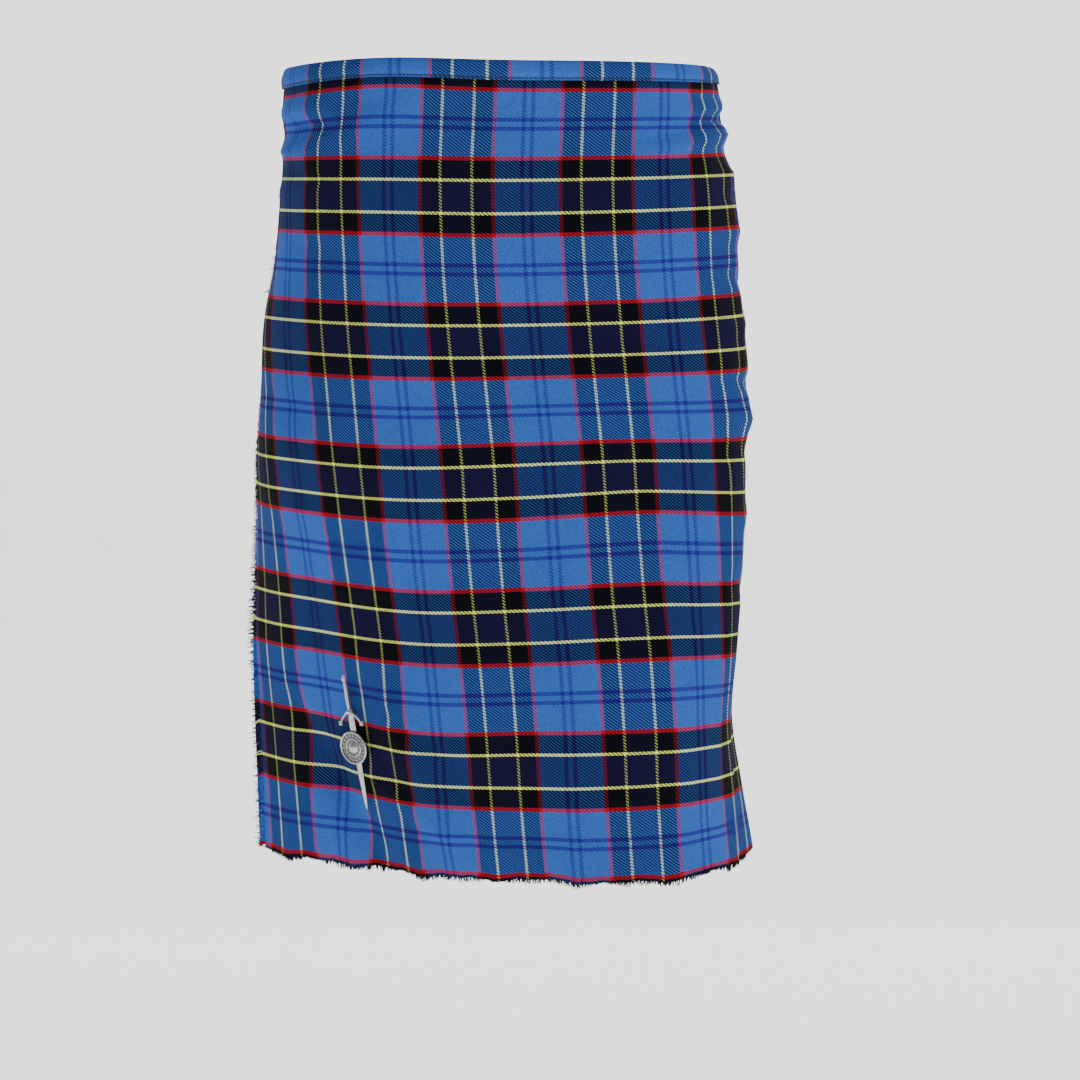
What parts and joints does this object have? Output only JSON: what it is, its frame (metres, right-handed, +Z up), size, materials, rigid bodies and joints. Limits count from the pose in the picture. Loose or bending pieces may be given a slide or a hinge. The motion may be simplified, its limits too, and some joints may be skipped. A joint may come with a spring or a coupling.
{
  "type": "kilt",
  "caption": "Worn tartan kilt: plain wrapped apron in front, knife pleats round the back, fringed edge, waistband, side straps with buckles and a sword-shaped pin, open at waist and hem.",
  "frame": {"origin": "centre of the waist, at the middle of the waistband's height, where the kilt is held", "axes": "+Z up, front -Y, wearer's left +X"},
  "size_m": [0.3929, 0.323, 0.616],
  "materials": {
    "tartan": "2/2 twill wool, light blue, navy, black, red and yellow check",
    "black_leather": "smooth, semi-matte",
    "nickel": "polished nickel plate",
    "silver": "antiqued silver plate"
  },
  "bodies": {
    "root": {"apron_fringe": "tartan", "buckle_frame_left_waist": "nickel", "buckle_frame_right_hip": "nickel", "buckle_frame_right_waist": "nickel", "buckle_prong_left_waist": "nickel", "buckle_prong_right_hip": "nickel", "buckle_prong_right_waist": "nickel", "buckle_tab_left_waist": "black_leather", "buckle_tab_right_hip": "black_leather", "buckle_tab_right_waist": "black_leather", "over_apron": "tartan", "pin_guard": "silver", "pin_sword": "silver", "pin_targe": "silver", "pin_wire": "silver", "pleats_left": "tartan", "pleats_right": "tartan", "strap_keeper_left_waist": "black_leather", "strap_keeper_right_hip": "black_leather", "strap_keeper_right_waist": "black_leather", "strap_left_waist": "black_leather", "strap_right_hip": "black_leather", "strap_right_waist": "black_leather", "under_apron": "tartan", "waistband_outer": "tartan", "waistband_under": "tartan"}
  },
  "joints": []
}
